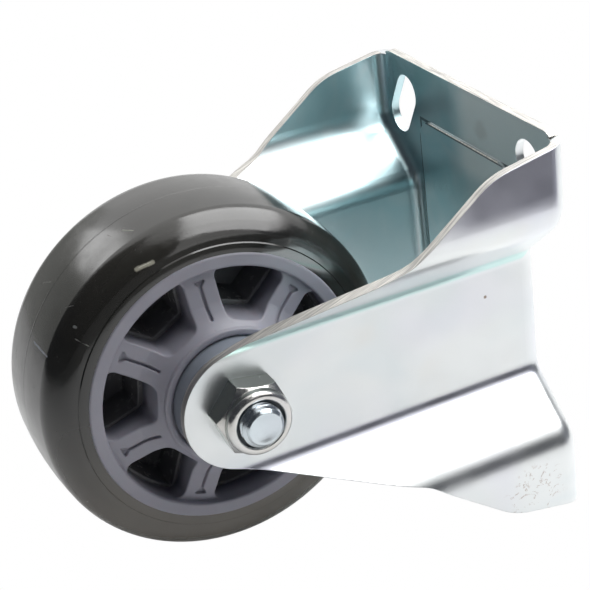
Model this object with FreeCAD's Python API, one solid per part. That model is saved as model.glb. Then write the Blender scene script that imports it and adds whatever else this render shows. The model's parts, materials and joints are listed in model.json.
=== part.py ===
"""Fixed castor: one-piece pressed bracket, moulded wheel on two ball bearings, bolted axle.

Millimetres. +Z is up, Y is the axle, X is the rolling direction.
The origin is the middle of the mounting plate's top face.
"""
import FreeCAD
import Part
import math
import os
from FreeCAD import Vector as V

# Tyre
WHEEL_D = 101.6
TREAD_W = 37.6
TREAD_CROWN = 1.3
TYRE_T = 11.8
TYRE_SHOULDER_R = 7.0
TYRE_STEP_IN = 2.6
TYRE_STEP = 0.3
TYRE_LIP = 0.4

# Rim of the core, with the key ridge that holds the tyre
RIM_T = 3.8
RIM_W = 39.0
RIM_ROUND = 0.5
KEY_H = 2.6
KEY_W = 21.0
KEY_SLOPE = 1.5

# Spokes of the core
SPOKES = 7
SPOKE_W = 9.0
SPOKE_ANGLE = 133.0
SPOKE_SINK_RIM = 2.1
SPOKE_SINK_HUB = 0.6
SPOKE_EDGE_T = 6.6
SPOKE_ROOT_R = 21.0
SPOKE_ROUND = 0.4
POCKET_CORNER = 2.6
GROOVE_W = 0.9
GROOVE_DEPTH = 1.0
GROOVE_T_W = 4.2
GROOVE_T_L = 1.8
GROOVE_START = 0.9
GROOVE_END = 2.4
GROOVE_CORNER = 0.4

# Dark moulding inside the core
INNER_INSET = 0.95
INNER_ROOT_INSET = 1.4
INNER_DRAFT = 0.8
INNER_CORNER = 0.6
INNER_ROUND = 0.35
WEB_T = 1.6

# Hub of the core
BOSS_PROUD = 5.2
BOSS_WALL = 2.0
BOSS_ROUND = 0.6
FLANK_DROP = 0.9
FLANK_W = 6.2
FLANK_HOLLOW = 0.6
HUB_BORE_R = 14.0

# Bearings
AXLE_D = 12.0
RACE_OD = 32.0
RACE_W = 10.0
RACE_T = 2.7
BALLS = 7
BALL_D = 5.95
BALL_GAP = 0.15
SHIELD_T = 0.4
SHIELD_SET = 0.3
SHIELD_GAP = 0.3
CAGE_T = 1.0
CAGE_EDGE = 0.6
BEARING_SINK = 1.2

# Axle pieces
AXLE_CLEARANCE = 0.1
BUSH_WALL = 2.4
GUARD_R = 17.3
GUARD_GAP = 0.5
GUARD_ROUND = 1.2
GUARD_SINK = 0.7
HEX_AF = 19.0
HEX_TURN = 20.0
HEX_BEVEL = 2.2
HEAD_H = 7.5
NUT_H = 9.8
NUT_HEX_H = 6.9
NUT_COLLAR_INSET = 0.25
NUT_COLLAR_ROUND = 1.5
NUT_LIP_W = 0.9
NUT_LIP_T = 0.9
NUT_LIP_ROUND = 0.5
NUT_BORE_R = 6.9
NUT_RECESS = 1.3
BOLT_PROUD = 2.5
BOLT_CHAMFER = 1.4

# Bracket
SHEET = 2.6
AXLE_DROP = 92.1
PLATE_L = 114.3
FORK_GAP = 60.2
WING_OUT = 50.4
PANEL_HALF = 18.25
WING_START = 33.0
VALLEY_R = 5.0
CREST_R = 12.0
FOLD_R = 3.4
LEG_END_R = 17.7
LEG_KNEE_X = 33.4
LEG_KNEE_UP = 43.8
LEG_SHOULDER_X = 51.9
LEG_SHOULDER_UP = 68.9
LEG_TOP_X = 56.0
LEG_KNEE_R = 14.0
LEG_SHOULDER_R = 22.0
TAB_HALF_W = 46.6
TAB_CORNER = 4.5
SLOT_W = 11.4
SLOT_OUT_X = 46.04
SLOT_OUT_Y = 33.34
SLOT_IN_X = 38.1
SLOT_IN_Y = 38.1
PAD_L = 80.0
PAD_W = 50.0
PAD_CORNER = 6.0
PAD_DROP = 0.8
PAD_DRAFT = 0.9
PAD_LEAN = 0.5
PAD_ROUND = 0.3

# Worked out from the sizes above
WHEEL_R = WHEEL_D / 2
TREAD_HALF = TREAD_W / 2
RIM_OUTER_R = WHEEL_R - TYRE_T
RIM_INNER_R = RIM_OUTER_R - RIM_T
TYRE_STEP_R = RIM_OUTER_R + TYRE_STEP_IN
RIM_HALF = RIM_W / 2
KEY_HALF = KEY_W / 2
AXLE_R = AXLE_D / 2
AXLE_Z = -AXLE_DROP
FORK_IN = FORK_GAP / 2
FORK_OUT = FORK_IN + SHEET
PLATE_HALF = PLATE_L / 2
PITCH = 360.0 / SPOKES
SPOKE_RIM_Y = RIM_HALF - SPOKE_SINK_RIM
SPOKE_HUB_Y = RIM_HALF - SPOKE_SINK_HUB
INNER_HALF = SPOKE_RIM_Y - SPOKE_EDGE_T
RACE_OR = RACE_OD / 2
BOSS_END = RIM_HALF + BOSS_PROUD
BORE_MOUTH_R = GUARD_R + GUARD_GAP
BOSS_R = BORE_MOUTH_R + BOSS_WALL
FLANK_FOOT_R = BOSS_R + FLANK_W
BEARING_OUT = BOSS_END - BEARING_SINK
BEARING_IN = BEARING_OUT - RACE_W
BEARING_MID = (BEARING_OUT + BEARING_IN) / 2
BUSH_R = AXLE_R + BUSH_WALL
HOLE_R = AXLE_R + AXLE_CLEARANCE
INNER_RACE_R = AXLE_R + RACE_T
OUTER_RACE_R = RACE_OR - RACE_T
BALL_PITCH = (INNER_RACE_R + OUTER_RACE_R) / 2
BALL_R = BALL_D / 2
SEAT_R = BALL_R + BALL_GAP
CAGE_HALF_W = SEAT_R + CAGE_EDGE
HEX_CORNER_R = HEX_AF / math.sqrt(3)
HEX_END = -(FORK_OUT + NUT_HEX_H)
NUT_END = -(FORK_OUT + NUT_H)
BOLT_END = NUT_END - BOLT_PROUD

# Modelling helps: a size past everything, an overlap where solids are fused, and a tolerance
BIG = 400.0
LAP = 0.5
TINY = 1e-4


def at_axle(shape):
    """Move a shape modelled about the origin to the axle."""
    shape.translate(V(0, 0, AXLE_Z))
    return shape


def spun(edges):
    """Revolve a closed outline in the XY plane about the axle line."""
    face = Part.Face(Part.Wire(Part.__sortEdges__(edges)))
    return face.revolve(V(0, 0, 0), V(0, 1, 0), 360)


def turned(outline):
    """Revolve a closed outline of (radius, y) points about the axle line."""
    points = [V(r, y, 0) for r, y in outline]
    return spun(Part.makePolygon(points + points[:1]).Edges)


def tube(r_out, r_in, y0, y1):
    """Plain ring about the axle line between two stations."""
    return turned([(r_in, y0), (r_out, y0), (r_out, y1), (r_in, y1)])


def mirrored(shape, side):
    """Shape modelled on the far side, put on the far (+1) or near (-1) side."""
    return shape if side > 0 else shape.mirror(V(0, 0, 0), V(0, 1, 0))


def with_mirror(shape):
    """Shape joined with its mirror image across the wheel's middle plane."""
    return shape.fuse(mirrored(shape, -1)).removeSplitter()


def rounded_edges(points, radii):
    """Edges of a closed path in the XY or XZ plane with its corners rounded."""
    count = len(points)
    starts, ends, mids = [], [], []
    for i in range(count):
        here = points[i]
        back = (points[i - 1] - here).normalize()
        ahead = (points[(i + 1) % count] - here).normalize()
        half = back.getAngle(ahead) / 2
        radius = radii[i]
        if radius == 0:
            starts.append(here)
            ends.append(here)
            mids.append(None)
            continue
        reach = radius / math.tan(half)
        centre = here + (back + ahead).normalize() * (radius / math.sin(half))
        starts.append(here + back * reach)
        ends.append(here + ahead * reach)
        mids.append(centre + (here - centre).normalize() * radius)
    edges = []
    for i in range(count):
        if mids[i] is not None:
            edges.append(Part.Arc(starts[i], mids[i], ends[i]).toShape())
        edges.append(Part.LineSegment(ends[i], starts[(i + 1) % count]).toShape())
    return edges


def prism(points, radii, direction):
    """Solid swept from a closed path with rounded corners."""
    wire = Part.Wire(Part.__sortEdges__(rounded_edges(points, radii)))
    return Part.Face(wire).extrude(direction)


def fork_plan(half_y, wing_y, panel_x, wing_x, r_valley, r_crest, z0, z1):
    """Solid under a plan outline that follows both pressed legs."""
    side = [(-BIG, -wing_y), (-wing_x, -wing_y), (-panel_x, -half_y)]
    side += [(-x, y) for x, y in reversed(side)]
    points = [V(x, y, z0) for x, y in side]
    points += [V(-x, -y, z0) for x, y in side]
    radii = [0, r_crest, r_valley, r_valley, r_crest, 0] * 2
    return prism(points, radii, V(0, 0, z1 - z0))


def top_edges(solid, z):
    """Edges of a solid that lie at one height and run along the legs."""
    return [e for e in solid.Edges
            if abs(e.BoundBox.ZMin - z) < TINY and abs(e.BoundBox.ZMax - z) < TINY
            and e.BoundBox.XLength > LAP]


def leg_outline():
    """Side outline of the legs, round at the axle and widest under the plate."""
    knee = V(LEG_KNEE_X, 0, AXLE_Z + LEG_KNEE_UP)
    shoulder = V(LEG_SHOULDER_X, 0, AXLE_Z + LEG_SHOULDER_UP)
    top = V(LEG_TOP_X, 0, 0)
    reach = math.hypot(LEG_KNEE_X, LEG_KNEE_UP)
    swing = math.atan2(LEG_KNEE_UP, LEG_KNEE_X) - math.acos(LEG_END_R / reach)
    foot = V(LEG_END_R * math.cos(swing), 0, AXLE_Z + LEG_END_R * math.sin(swing))
    path = [top, shoulder, knee, foot]
    path += [V(-p.x, 0, p.z) for p in reversed(path)]
    radii = [0, LEG_SHOULDER_R, LEG_KNEE_R, 0]
    base = rounded_edges(path, radii + radii[::-1])
    low = min(e.BoundBox.ZMin for e in base)
    edges = [e for e in base if e.BoundBox.ZMax > low + TINY]
    bottom = V(0, 0, AXLE_Z - LEG_END_R)
    edges.append(Part.Arc(foot, bottom, V(-foot.x, 0, foot.z)).toShape())
    return Part.Face(Part.Wire(Part.__sortEdges__(edges)))


def end_tab(sign):
    """Plate beyond the legs at one end, with rounded corners."""
    x_in = sign * (LEG_TOP_X - LAP)
    x_out = sign * PLATE_HALF
    points = [V(x_in, -TAB_HALF_W, -SHEET), V(x_out, -TAB_HALF_W, -SHEET),
              V(x_out, TAB_HALF_W, -SHEET), V(x_in, TAB_HALF_W, -SHEET)]
    tab = prism(points, [0, TAB_CORNER, TAB_CORNER, 0], V(0, 0, SHEET))
    fold_start = WING_OUT - SHEET - FOLD_R
    trim = Part.makeBox(LEG_TOP_X * 2, BIG, SHEET * 3, V(-LEG_TOP_X, fold_start, -SHEET * 2))
    return tab.cut([trim, mirrored(trim, -1)])


def slot(sx, sy):
    """Cutter for one slanted mounting slot."""
    a = V(sx * SLOT_OUT_X, sy * SLOT_OUT_Y, -SHEET * 3)
    b = V(sx * SLOT_IN_X, sy * SLOT_IN_Y, -SHEET * 3)
    along = (b - a).normalize()
    across = V(-along.y, along.x, 0) * (SLOT_W / 2)
    tip_a = a - along * (SLOT_W / 2)
    tip_b = b + along * (SLOT_W / 2)
    edges = [Part.LineSegment(a + across, b + across).toShape(),
             Part.Arc(b + across, tip_b, b - across).toShape(),
             Part.LineSegment(b - across, a - across).toShape(),
             Part.Arc(a - across, tip_a, a + across).toShape()]
    return Part.Face(Part.Wire(edges)).extrude(V(0, 0, SHEET * 6))


def pad_wire(grow, z):
    """Rounded rectangle of the pressed pad at one height."""
    x, y = PAD_L / 2 + grow, PAD_W / 2 + grow
    points = [V(-x, -y, z), V(x, -y, z), V(x, y, z), V(-x, y, z)]
    return Part.Wire(Part.__sortEdges__(rounded_edges(points, [PAD_CORNER + grow] * 4)))


def pad_block(z_top, z_low, grow_top, grow_low):
    """Drafted block of the pressed pad, with its lower edge rounded."""
    block = Part.makeLoft([pad_wire(grow_top, z_top), pad_wire(grow_low, z_low)], True, True)
    rims = [e for e in block.Edges if abs(e.CenterOfMass.z - z_low) < TINY]
    return block.makeFillet(PAD_ROUND, rims)


def folded_sheet():
    """Plate middle and both corrugated legs, folded from one sheet."""
    low = AXLE_Z - LEG_END_R - LAP
    turn = math.atan2(WING_OUT - FORK_OUT, WING_START - PANEL_HALF)
    shift = SHEET * math.tan(turn / 2)
    outer = fork_plan(FORK_OUT, WING_OUT, PANEL_HALF, WING_START, VALLEY_R, CREST_R, low, 0)
    outer = outer.makeFillet(FOLD_R + SHEET, top_edges(outer, 0))
    inner = fork_plan(FORK_IN, WING_OUT - SHEET, PANEL_HALF + shift, WING_START + shift,
                      VALLEY_R + SHEET, CREST_R - SHEET, low - LAP, -SHEET)
    inner = inner.makeFillet(FOLD_R, top_edges(inner, -SHEET))
    side = leg_outline().extrude(V(0, 2 * BIG, 0))
    side.translate(V(0, -BIG, 0))
    return outer.common(side).cut(inner)


def bracket():
    """Plate and two corrugated legs pressed from one sheet."""
    body = folded_sheet().fuse([end_tab(1), end_tab(-1)]).removeSplitter()
    body = body.fuse(pad_block(-SHEET / 2, -SHEET - PAD_DROP, PAD_DRAFT + PAD_LEAN, PAD_LEAN))
    body = body.cut(pad_block(SHEET, -PAD_DROP, PAD_DRAFT, 0))
    body = body.cut([slot(sx, sy) for sx in (1, -1) for sy in (1, -1)])
    hole = Part.makeCylinder(HOLE_R, 2 * WING_OUT, V(0, -WING_OUT, AXLE_Z), V(0, 1, 0))
    return body.cut(hole).removeSplitter()


def key_points():
    """Half outline of the ridge that keys the tyre to the rim, from its foot to its top."""
    key_r = RIM_OUTER_R + KEY_H
    return [(RIM_OUTER_R, KEY_HALF), (key_r, KEY_HALF - KEY_SLOPE)]


def tyre():
    """Moulded tyre with a crowned tread, a stepped side and a keyed bore."""
    side_y = RIM_HALF - TYRE_LIP
    edge_r = WHEEL_R - TREAD_CROWN
    half = [(edge_r, TREAD_HALF), (TYRE_STEP_R + TYRE_STEP, TREAD_HALF), (TYRE_STEP_R, side_y),
            (RIM_OUTER_R, side_y)] + key_points()
    points = [V(r, y, 0) for r, y in half]
    points += [V(p.x, -p.y, 0) for p in reversed(points)]
    edges = Part.makePolygon(points).Edges
    edges.append(Part.Arc(points[-1], V(WHEEL_R, 0, 0), points[0]).toShape())
    body = spun(edges)
    corners = [e for e in body.Edges if abs(e.BoundBox.YLength) < TINY
               and abs(e.BoundBox.XMax - edge_r) < LAP / 2]
    return at_axle(body.makeFillet(TYRE_SHOULDER_R, corners))


def pocket_wire(inset, root_inset, y):
    """Outline of one opening between two spokes at one station, centred on +X."""
    half_turn = math.radians(PITCH / 2)
    half_w = SPOKE_W / 2 + inset
    r_in = SPOKE_ROOT_R + root_inset
    r_out = RIM_INNER_R - inset
    along = V(math.cos(half_turn), 0, math.sin(half_turn))
    offset = V(math.sin(half_turn), 0, -math.cos(half_turn)) * half_w
    upper_in = along * ((r_in - offset.x) / along.x) + offset
    upper_out = along * math.sqrt(r_out ** 2 - half_w ** 2) + offset
    lower_in = V(upper_in.x, 0, -upper_in.z)
    lower_out = V(upper_out.x, 0, -upper_out.z)
    wire = Part.Wire([Part.LineSegment(lower_in, upper_in).toShape(),
                      Part.LineSegment(upper_in, upper_out).toShape(),
                      Part.Arc(upper_out, V(r_out, 0, 0), lower_out).toShape(),
                      Part.LineSegment(lower_out, lower_in).toShape()])
    wire.translate(V(0, y, 0))
    return wire


def round_uprights(solid, corner):
    """Solid with the edges that run along the axle rounded."""
    uprights = [e for e in solid.Edges if e.BoundBox.YLength > solid.BoundBox.YLength / 2]
    return solid.makeFillet(corner, uprights)


def spoke_pocket():
    """Straight-walled cutter for one opening of the spoke disc."""
    face = Part.Face(pocket_wire(0, 0, INNER_HALF - LAP))
    return round_uprights(face.extrude(V(0, BOSS_END - INNER_HALF + 2 * LAP, 0)), POCKET_CORNER)


def inner_pocket():
    """Cutter for one pocket of the dark moulding, narrower at the web by its draft."""
    floor = pocket_wire(INNER_INSET + INNER_DRAFT, INNER_ROOT_INSET + INNER_DRAFT, WEB_T / 2)
    mouth = pocket_wire(INNER_INSET, INNER_ROOT_INSET, INNER_HALF)
    return round_uprights(Part.makeLoft([floor, mouth], True, True), INNER_CORNER)


def ring_of(shape, angle):
    """Copies of a shape at every spoke pitch, from one starting angle."""
    copies = []
    for i in range(SPOKES):
        copy = shape.copy()
        copy.rotate(V(0, 0, 0), V(0, 1, 0), -(angle + i * PITCH))
        copies.append(copy)
    return copies


def face_y(radius):
    """Height of the sloping spoke face at one radius."""
    share = (radius - FLANK_FOOT_R) / (RIM_INNER_R - FLANK_FOOT_R)
    return SPOKE_HUB_Y + (SPOKE_RIM_Y - SPOKE_HUB_Y) * share


def spoke_groove(disc):
    """Cutter for the slim groove along a spoke, flared beside the rim and level in depth."""
    r0 = SPOKE_ROOT_R + GROOVE_START
    r2 = RIM_INNER_R - GROOVE_END
    r1 = r2 - GROOVE_T_L
    w, t = GROOVE_W / 2, GROOVE_T_W / 2
    y = (INNER_HALF + SPOKE_RIM_Y) / 2
    points = [V(r0, y, -w), V(r1, y, -w), V(r2, y, -t), V(r2, y, t), V(r1, y, w), V(r0, y, w)]
    below = disc.copy()
    below.translate(V(0, -GROOVE_DEPTH, 0))
    return prism(points, [GROOVE_CORNER] * len(points), V(0, BIG, 0)).cut(below)


def spoke_disc():
    """Spokes of the far face: a sloping disc with rounded openings and grooves."""
    flank_top = V(BOSS_R, BOSS_END - FLANK_DROP, 0)
    flank_foot = V(FLANK_FOOT_R, SPOKE_HUB_Y, 0)
    chord = flank_foot - flank_top
    hollow = flank_top + chord / 2 + V(chord.y, -chord.x, 0).normalize() * FLANK_HOLLOW
    points = [flank_foot, V(RIM_INNER_R + LAP, face_y(RIM_INNER_R + LAP), 0),
              V(RIM_INNER_R + LAP, INNER_HALF, 0), V(BOSS_R - LAP, INNER_HALF, 0),
              V(BOSS_R - LAP, flank_top.y, 0), flank_top]
    edges = Part.makePolygon(points).Edges
    edges.append(Part.Arc(flank_top, hollow, flank_foot).toShape())
    disc = spun(edges)
    grooves = ring_of(spoke_groove(disc), SPOKE_ANGLE)
    disc = disc.cut(ring_of(spoke_pocket(), SPOKE_ANGLE + PITCH / 2))
    front = [e for e in disc.Edges
             if e.BoundBox.YMin > SPOKE_RIM_Y - LAP and e.BoundBox.ZLength > TINY
             and e.BoundBox.DiagonalLength < RIM_INNER_R]
    return disc.makeFillet(SPOKE_ROUND, front).cut(grooves)


def rim():
    """Rim of the core with its key ridge and lightly rounded faces."""
    half = [(RIM_INNER_R, RIM_HALF), (RIM_OUTER_R, RIM_HALF)] + key_points()
    ring = turned(half + [(r, -y) for r, y in reversed(half)])
    mouths = [e for e in ring.Edges if abs(abs(e.CenterOfMass.y) - RIM_HALF) < TINY
              and e.BoundBox.YLength < TINY]
    return ring.makeFillet(RIM_ROUND, mouths)


def hub_half():
    """Far half of the hub barrel, with the bearing's seat and the mouth round the guard."""
    outline = [(HUB_BORE_R, -LAP), (HUB_BORE_R, BEARING_IN), (RACE_OR, BEARING_IN),
               (RACE_OR, BEARING_OUT), (BORE_MOUTH_R, BEARING_OUT), (BORE_MOUTH_R, BOSS_END),
               (BOSS_R, BOSS_END), (BOSS_R, INNER_HALF), (SPOKE_ROOT_R, INNER_HALF), (SPOKE_ROOT_R, -LAP)]
    barrel = turned(outline)
    mouth = [e for e in barrel.Edges if abs(e.CenterOfMass.y - BOSS_END) < TINY
             and e.BoundBox.YLength < TINY]
    return barrel.makeFillet(BOSS_ROUND, mouth)


def wheel_core():
    """Light core: rim, hub barrel and the spokes of both faces."""
    half = hub_half().fuse(spoke_disc())
    return at_axle(with_mirror(half).fuse(rim()).removeSplitter())


def inner_core():
    """Dark inner moulding between the two spoked faces, with a closed web."""
    body = tube(RIM_INNER_R, SPOKE_ROOT_R, -INNER_HALF, INNER_HALF)
    for side in (-1, 1):
        body = body.cut(ring_of(mirrored(inner_pocket(), side), SPOKE_ANGLE + PITCH / 2))
    lips = [e for e in body.Edges if abs(abs(e.CenterOfMass.y) - INNER_HALF) < TINY
            and e.BoundBox.DiagonalLength < RIM_INNER_R]
    return at_axle(body.makeFillet(INNER_ROUND, lips))


def ball_track():
    """Cutter for the ball track of a race, a little larger than the balls."""
    return Part.makeTorus(BALL_PITCH, SEAT_R, V(0, BEARING_MID, 0), V(0, 1, 0))


def outer_race(side):
    """Outer race with its ball track."""
    ring = tube(RACE_OR, OUTER_RACE_R, BEARING_IN, BEARING_OUT).cut(ball_track())
    return at_axle(mirrored(ring, side))


def inner_race(side):
    """Inner race with its ball track, carried on the axle bolt."""
    ring = tube(INNER_RACE_R, HOLE_R, BEARING_IN, BEARING_OUT).cut(ball_track())
    return at_axle(mirrored(ring, side))


def ball_direction(index):
    """Direction from the axle to one ball."""
    turn = 2 * math.pi * index / BALLS
    return V(math.cos(turn), 0, math.sin(turn))


def ball(side, index):
    """One ball of a bearing."""
    place = ball_direction(index) * BALL_PITCH + V(0, side * BEARING_MID, 0)
    return at_axle(Part.makeSphere(BALL_R, place))


def ball_cage(side):
    """Ring with a round window for each ball of a bearing."""
    ring = tube(BALL_PITCH + CAGE_T / 2, BALL_PITCH - CAGE_T / 2,
                BEARING_MID - CAGE_HALF_W, BEARING_MID + CAGE_HALF_W)
    middle = V(0, BEARING_MID, 0)
    windows = [Part.makeCylinder(SEAT_R, 2 * BALL_PITCH, middle, ball_direction(i))
               for i in range(BALLS)]
    return at_axle(mirrored(ring.cut(windows), side))


def shield(side, outer):
    """Thin shield pressed into the outer race at one end of a bearing."""
    y = BEARING_OUT - SHIELD_SET - SHIELD_T if outer else BEARING_IN + SHIELD_SET
    ring = tube(OUTER_RACE_R, INNER_RACE_R + SHIELD_GAP, y, y + SHIELD_T)
    return at_axle(mirrored(ring, side))


def spacer_tube():
    """Tube on the axle bolt between the two inner races."""
    return at_axle(tube(BUSH_R, HOLE_R, -BEARING_IN, BEARING_IN))


def side_bush(side):
    """Bush on the axle bolt between an inner race and a leg."""
    return at_axle(mirrored(tube(BUSH_R, HOLE_R, BEARING_OUT, FORK_IN), side))


def thread_guard(side):
    """Moulded cap on the side bush that keeps threads out of a bearing."""
    ring = tube(GUARD_R, BUSH_R, BOSS_END - GUARD_SINK, FORK_IN)
    rims = [e for e in ring.Edges if abs(e.CenterOfMass.y - FORK_IN) < TINY
            and e.BoundBox.XMax > BORE_MOUTH_R - GUARD_GAP - LAP]
    return at_axle(mirrored(ring.makeFillet(GUARD_ROUND, rims), side))


def hexagon(y0, y1):
    """Hexagonal prism about the axle line."""
    angles = [math.radians(HEX_TURN + corner * 60) for corner in range(6)]
    points = [V(HEX_CORNER_R * math.cos(a), y0, HEX_CORNER_R * math.sin(a)) for a in angles]
    return Part.Face(Part.makePolygon(points + points[:1])).extrude(V(0, y1 - y0, 0))


def bevelled_hex(y0, y1):
    """Hexagonal prism whose corners are bevelled by a cone at the y1 end."""
    back = y1 - HEX_BEVEL if y1 > y0 else y1 + HEX_BEVEL
    rim_r = HEX_CORNER_R + LAP
    tip_r = HEX_AF / 2 - LAP / 2
    cone = turned([(0, y0), (rim_r, y0), (rim_r, back), (tip_r, y1), (0, y1)])
    return hexagon(y0, y1).common(cone)


def axle_bolt():
    """Hex-head bolt through both legs; its chamfered end shows past the nut."""
    head = bevelled_hex(FORK_OUT, FORK_OUT + HEAD_H)
    shank = turned([(0, BOLT_END), (AXLE_R - BOLT_CHAMFER, BOLT_END), (AXLE_R, BOLT_END + BOLT_CHAMFER),
                    (AXLE_R, FORK_OUT + HEAD_H / 2), (0, FORK_OUT + HEAD_H / 2)])
    return at_axle(head.fuse(shank).removeSplitter())


def lock_nut():
    """Hex nut with a round collar that is turned in over a locking insert."""
    collar_r = HEX_AF / 2 - NUT_COLLAR_INSET
    pocket_r = NUT_BORE_R + NUT_LIP_W
    collar = tube(collar_r, AXLE_R, HEX_END + LAP, NUT_END)
    rims = [e for e in collar.Edges if abs(e.CenterOfMass.y - NUT_END) < TINY
            and e.BoundBox.XMax > collar_r - TINY]
    collar = collar.makeFillet(NUT_COLLAR_ROUND, rims)
    body = bevelled_hex(-FORK_OUT, HEX_END).fuse(collar)
    bore = turned([(0, -FORK_OUT + LAP), (AXLE_R, -FORK_OUT + LAP), (AXLE_R, HEX_END + LAP),
                   (pocket_r, HEX_END + LAP), (pocket_r, NUT_END + NUT_LIP_T),
                   (NUT_BORE_R, NUT_END + NUT_LIP_T), (NUT_BORE_R, NUT_END - LAP), (0, NUT_END - LAP)])
    body = body.cut(bore).removeSplitter()
    lips = [e for e in body.Edges if abs(e.CenterOfMass.y - NUT_END) < TINY
            and abs(e.BoundBox.XMax - NUT_BORE_R) < TINY]
    return at_axle(body.makeFillet(NUT_LIP_ROUND, lips))


def nut_insert():
    """Locking ring inside the nut's collar."""
    return at_axle(tube(NUT_BORE_R + NUT_LIP_W, AXLE_R, NUT_END + NUT_RECESS, HEX_END + LAP))


def bearing_parts(name, side):
    """Pieces of one bearing and its guard, by node name."""
    parts = {"outer_race_" + name: outer_race(side),
             "inner_race_" + name: inner_race(side),
             "ball_cage_" + name: ball_cage(side),
             "shield_out_" + name: shield(side, True),
             "shield_in_" + name: shield(side, False),
             "side_bush_" + name: side_bush(side),
             "thread_guard_" + name: thread_guard(side)}
    for i in range(BALLS):
        parts["ball_%s_%d" % (name, i + 1)] = ball(side, i)
    return parts


def nodes():
    """Every piece of the castor by node name."""
    parts = {"bracket": bracket(), "tyre": tyre(), "wheel_core": wheel_core(),
             "inner_core": inner_core(), "spacer_tube": spacer_tube(), "axle_bolt": axle_bolt(),
             "lock_nut": lock_nut(), "nut_insert": nut_insert()}
    parts.update(bearing_parts("near", -1))
    parts.update(bearing_parts("far", 1))
    return parts


def report(name, shape):
    """Print a piece's size, as a quick check."""
    box = shape.BoundBox
    print("%-18s solids %d valid %s volume %.0f" % (name, len(shape.Solids), shape.isValid(), shape.Volume),
          "x %.1f..%.1f y %.1f..%.1f" % (box.XMin, box.XMax, box.YMin, box.YMax),
          "z %.1f..%.1f" % (box.ZMin, box.ZMax))


def main():
    """Write one STEP file for each piece."""
    os.makedirs("parts", exist_ok=True)
    for name, shape in nodes().items():
        solid = shape.Solids[0] if len(shape.Solids) == 1 else shape
        solid.exportStep("parts/%s.step" % name)
        report(name, solid)


if __name__ == "__main__":
    main()
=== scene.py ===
"""Finishes, small fittings and studio stage for a fixed castor.

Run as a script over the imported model. All lengths are in metres unless a property says otherwise.
"""
import json
import math
import random

import bmesh
import bpy
from bpy.props import FloatProperty, FloatVectorProperty, PointerProperty
from bpy.types import Operator, Panel, PropertyGroup
from mathutils import Matrix, Vector


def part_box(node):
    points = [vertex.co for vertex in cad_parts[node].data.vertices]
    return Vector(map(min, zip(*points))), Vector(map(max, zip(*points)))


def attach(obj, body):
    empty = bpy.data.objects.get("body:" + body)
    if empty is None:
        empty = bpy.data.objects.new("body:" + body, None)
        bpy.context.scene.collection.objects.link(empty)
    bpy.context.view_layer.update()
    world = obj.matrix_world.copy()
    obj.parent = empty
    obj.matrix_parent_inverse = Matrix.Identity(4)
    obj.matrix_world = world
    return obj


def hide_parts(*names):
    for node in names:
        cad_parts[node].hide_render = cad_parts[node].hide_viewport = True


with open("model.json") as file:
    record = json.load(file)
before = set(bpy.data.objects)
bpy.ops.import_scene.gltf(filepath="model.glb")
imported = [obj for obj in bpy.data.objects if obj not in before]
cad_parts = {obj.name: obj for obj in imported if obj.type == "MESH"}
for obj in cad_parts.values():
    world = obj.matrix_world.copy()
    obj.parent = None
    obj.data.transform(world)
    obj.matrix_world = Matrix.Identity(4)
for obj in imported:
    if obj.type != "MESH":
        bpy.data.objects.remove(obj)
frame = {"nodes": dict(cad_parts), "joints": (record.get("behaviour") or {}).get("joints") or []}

bl_info = {
    "name": "Fixed Castor Workshop",
    "version": (1, 0, 0),
    "blender": (4, 5, 0),
    "location": "3D View > Sidebar > Castor",
    "description": "Finishes and stages a plate castor with a moulded wheel",
    "category": "Object",
}

MM = 0.001
NODES = frame["nodes"]
AXLE = Vector(next(j["pos_m"] for j in frame["joints"] if j["name"] == "wheel_spin"))
WHEEL_R = (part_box("tyre")[1].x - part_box("tyre")[0].x) / 2
NEAR_PANEL_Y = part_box("thread_guard_near")[0].y

# The pressed sheet: its thickness, the plate's cut edge, the pad's step and the curl of the wings
SHEET = 2.6 * MM
PLATE_UNDER_Z = -SHEET
PLATE_EDGE_X = 52.5 * MM
PAD_HALF_X = 40.4 * MM
PAD_HALF_Y = 25.4 * MM
WING_START = 34.5 * MM
WING_FADE = 9 * MM
WING_CURL = 0.195

# Marks of use on the bracket
DOT_PLACE = (-8.9 * MM, NEAR_PANEL_Y - SHEET, -18.0 * MM)
DOT_R = 0.75 * MM
STAIN_PLACE = (-47.0 * MM, -9.6 * MM, PLATE_UNDER_Z)
STAIN_R = 6.0 * MM
SQUIGGLE_PLACE = (47 * MM, -50.4 * MM, -16 * MM)
SQUIGGLE_R = 13 * MM

# Tones of the plating's casts, of its painted reflections, painted pale sheen and painted step shadow,
# and of the marks
MOTTLE_TONE = (0.93, 0.95, 0.96)
CLOUD_LILAC = (0.83, 0.83, 0.91)
VALLEY_REFLECTION_TEAL = (0.58, 0.86, 0.82)
VALLEY_REFLECTION_LILAC = (0.76, 0.76, 0.90)
WING_REFLECTION_LILAC = (0.84, 0.83, 0.96)
SHEEN_TONE = (0.90, 1.0, 1.0)
STEP_SHADE_TONE = (0.10, 0.13, 0.14)
DOT_TONE = (0.20, 0.11, 0.05)
STAIN_TONE = (0.45, 0.44, 0.40)
SQUIGGLE_TONE = (0.30, 0.19, 0.14)
# Painted reflection: dark tone of the nut's hexagon flats
FLATS_SHADE_TONE = (0.34, 0.37, 0.35)
PIT_TONE = (0.30, 0.30, 0.29)
OIL_TONE = (0.45, 0.42, 0.36)

# The wheel: faces of its mouldings, the tyre's rounding and its hairline scratches
INNER_FACE_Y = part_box("inner_core")[1].y
SPOKE_FACE_Y = 17.4 * MM
SIDE_START_R = 39 * MM
SIDE_ROUNDING = 3.1 * MM
HAIRLINES = 18
HAIRLINE_SEED = 5
HAIRLINE_REACH = 14 * MM

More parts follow.
